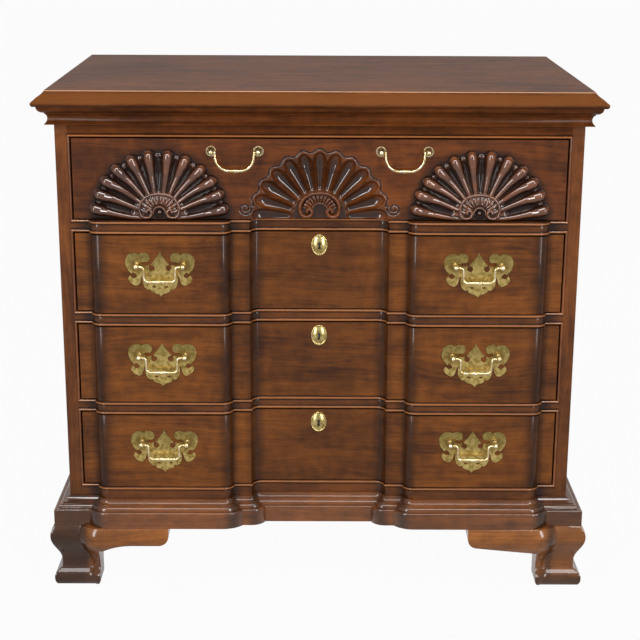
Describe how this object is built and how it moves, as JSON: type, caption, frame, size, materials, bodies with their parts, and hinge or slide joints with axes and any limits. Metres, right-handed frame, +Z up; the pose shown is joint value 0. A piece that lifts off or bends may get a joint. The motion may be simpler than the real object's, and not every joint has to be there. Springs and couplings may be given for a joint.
{
  "type": "block front chest",
  "caption": "Block front chest of full-width drawers with carved shells above, brass bail pulls, moulded top and ogee bracket feet.",
  "frame": {"origin": "on the floor, under the middle of the chest's bounding box", "axes": "+Z up; +X to the right when facing the drawers, along the chest's width; the drawers face and open towards -Y"},
  "size_m": [0.915, 0.573, 0.8485],
  "materials": {
    "case_mahogany": "semi-gloss lacquer over dark red-brown stain",
    "drawer_mahogany": "semi-gloss lacquer over red-brown stain, horizontal grain",
    "carved_mahogany": "glossy lacquer over red-brown stain with dark glaze in the hollows",
    "top_mahogany": "semi-gloss lacquer over red-brown stain",
    "secondary_wood": "plain sanded wood",
    "polished_brass": "polished and lacquered, slightly aged",
    "lock_steel": "plain brushed"
  },
  "bodies": {
    "case": {"top_board": "top_mahogany", "side_panel_left": "case_mahogany", "side_panel_right": "case_mahogany", "back_panel": "secondary_wood", "bottom_board": "secondary_wood", "cornice_front": "case_mahogany", "cornice_returns": "case_mahogany", "top_rail": "case_mahogany", "divider_rail_1": "case_mahogany", "divider_rail_2": "case_mahogany", "divider_rail_3": "case_mahogany", "bottom_rail": "case_mahogany", "stile_beads": "case_mahogany", "drawer_runners": "secondary_wood", "drawer_stops": "secondary_wood", "rear_top_rail": "secondary_wood", "base_moulding_front": "case_mahogany", "base_moulding_returns": "case_mahogany", "front_foot_left": "case_mahogany", "front_foot_right": "case_mahogany", "rear_foot_left": "case_mahogany", "rear_foot_right": "case_mahogany"},
    "drawer_1": {"drawer_1_shells": "carved_mahogany", "drawer_1_front": "drawer_mahogany", "drawer_1_sides": "secondary_wood", "drawer_1_back": "secondary_wood", "drawer_1_bottom": "secondary_wood", "drawer_1_pull_posts": "polished_brass"},
    "drawer_1_bail_left": {"drawer_1_bail_left": "polished_brass"},
    "drawer_1_bail_right": {"drawer_1_bail_right": "polished_brass"},
    "drawer_2": {"drawer_2_front": "drawer_mahogany", "drawer_2_sides": "secondary_wood", "drawer_2_back": "secondary_wood", "drawer_2_bottom": "secondary_wood", "drawer_2_pull_posts": "polished_brass", "drawer_2_pull_plates": "polished_brass", "drawer_2_escutcheon": "polished_brass", "drawer_2_lock": "lock_steel"},
    "drawer_2_bail_left": {"drawer_2_bail_left": "polished_brass"},
    "drawer_2_bail_right": {"drawer_2_bail_right": "polished_brass"},
    "drawer_3": {"drawer_3_front": "drawer_mahogany", "drawer_3_sides": "secondary_wood", "drawer_3_back": "secondary_wood", "drawer_3_bottom": "secondary_wood", "drawer_3_pull_posts": "polished_brass", "drawer_3_pull_plates": "polished_brass", "drawer_3_escutcheon": "polished_brass", "drawer_3_lock": "lock_steel"},
    "drawer_3_bail_left": {"drawer_3_bail_left": "polished_brass"},
    "drawer_3_bail_right": {"drawer_3_bail_right": "polished_brass"},
    "drawer_4": {"drawer_4_front": "drawer_mahogany", "drawer_4_sides": "secondary_wood", "drawer_4_back": "secondary_wood", "drawer_4_bottom": "secondary_wood", "drawer_4_pull_posts": "polished_brass", "drawer_4_pull_plates": "polished_brass", "drawer_4_escutcheon": "polished_brass", "drawer_4_lock": "lock_steel"},
    "drawer_4_bail_left": {"drawer_4_bail_left": "polished_brass"},
    "drawer_4_bail_right": {"drawer_4_bail_right": "polished_brass"}
  },
  "joints": [
    {"name": "drawer_1_slide", "type": "slide", "parent": "case", "child": "drawer_1", "axis": [0, -1, 0], "range_m": [0, 0.38]},
    {"name": "drawer_2_slide", "type": "slide", "parent": "case", "child": "drawer_2", "axis": [0, -1, 0], "range_m": [0, 0.38]},
    {"name": "drawer_3_slide", "type": "slide", "parent": "case", "child": "drawer_3", "axis": [0, -1, 0], "range_m": [0, 0.38]},
    {"name": "drawer_4_slide", "type": "slide", "parent": "case", "child": "drawer_4", "axis": [0, -1, 0], "range_m": [0, 0.38]},
    {"name": "drawer_1_bail_left_swing", "type": "hinge", "parent": "drawer_1", "child": "drawer_1_bail_left", "pos_m": [-0.1368, -0.2525, 0.751], "axis": [-1, 0, 0], "range_deg": [-22, 195]},
    {"name": "drawer_1_bail_right_swing", "type": "hinge", "parent": "drawer_1", "child": "drawer_1_bail_right", "pos_m": [0.1368, -0.2525, 0.751], "axis": [-1, 0, 0], "range_deg": [-22, 195]},
    {"name": "drawer_2_bail_left_swing", "type": "hinge", "parent": "drawer_2", "child": "drawer_2_bail_left", "pos_m": [-0.25975, -0.2695, 0.56595], "axis": [-1, 0, 0], "range_deg": [-22, 200]},
    {"name": "drawer_2_bail_right_swing", "type": "hinge", "parent": "drawer_2", "child": "drawer_2_bail_right", "pos_m": [0.25975, -0.2695, 0.56595], "axis": [-1, 0, 0], "range_deg": [-22, 200]},
    {"name": "drawer_3_bail_left_swing", "type": "hinge", "parent": "drawer_3", "child": "drawer_3_bail_left", "pos_m": [-0.25975, -0.2695, 0.41145], "axis": [-1, 0, 0], "range_deg": [-22, 200]},
    {"name": "drawer_3_bail_right_swing", "type": "hinge", "parent": "drawer_3", "child": "drawer_3_bail_right", "pos_m": [0.25975, -0.2695, 0.41145], "axis": [-1, 0, 0], "range_deg": [-22, 200]},
    {"name": "drawer_4_bail_left_swing", "type": "hinge", "parent": "drawer_4", "child": "drawer_4_bail_left", "pos_m": [-0.25975, -0.2695, 0.2582], "axis": [-1, 0, 0], "range_deg": [-22, 200]},
    {"name": "drawer_4_bail_right_swing", "type": "hinge", "parent": "drawer_4", "child": "drawer_4_bail_right", "pos_m": [0.25975, -0.2695, 0.2582], "axis": [-1, 0, 0], "range_deg": [-22, 200]}
  ]
}
